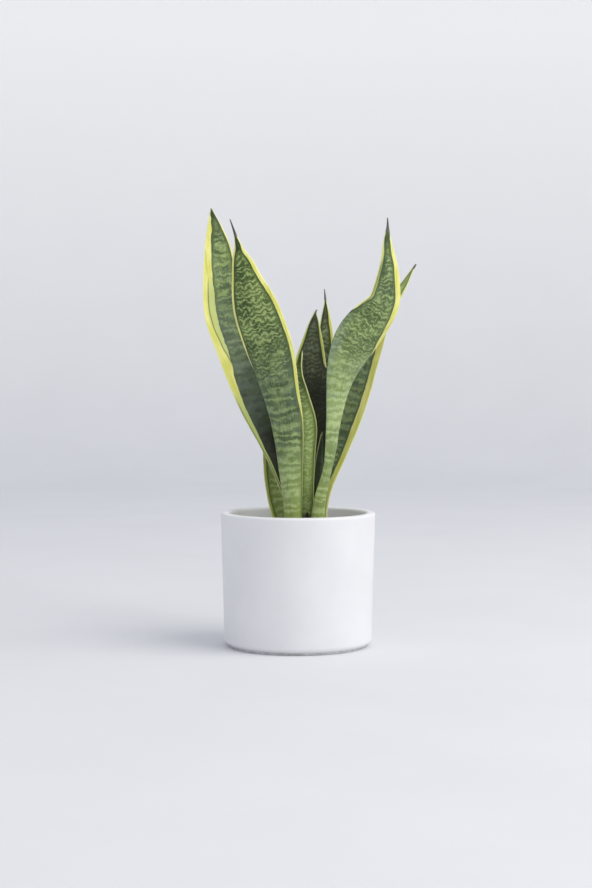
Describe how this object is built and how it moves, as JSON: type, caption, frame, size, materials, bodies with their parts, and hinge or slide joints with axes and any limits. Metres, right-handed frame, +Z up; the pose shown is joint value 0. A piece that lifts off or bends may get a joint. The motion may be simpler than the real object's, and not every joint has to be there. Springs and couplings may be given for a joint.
{
  "type": "potted snake plant",
  "caption": "Potted snake plant: stiff upright variegated sword leaves on a buried rhizome, in potting soil, in a plain tapered white ceramic pot with a flat foot.",
  "frame": {"origin": "middle of the pot's flat foot, on the surface it stands on", "axes": "+Z up along the pot's axis, +X to the right and -Y to the front, the side the two widest leaves face"},
  "size_m": [0.2107, 0.15, 0.4271],
  "materials": {
    "ceramic": "matt white glazed stoneware",
    "potting_soil": "moist crumbly potting soil with bark and perlite",
    "rhizome": "ringed orange-brown rhizome skin",
    "dry_sheath": "dry papery brown sheath",
    "leaf": "waxy green leaf with wavy crossbands and yellow margins",
    "leaf_shaded": "waxy dark green leaf with wavy crossbands and yellow-green margins"
  },
  "bodies": {
    "root": {"pot": "ceramic", "soil": "potting_soil", "rhizome": "rhizome", "dry_sheath": "dry_sheath", "leaf_front_left": "leaf", "leaf_inner_left": "leaf", "leaf_back_left": "leaf", "leaf_low_left": "leaf", "leaf_front_right": "leaf", "leaf_young": "leaf", "leaf_back_right": "leaf", "leaf_centre": "leaf_shaded", "leaf_centre_back": "leaf_shaded"}
  },
  "joints": []
}
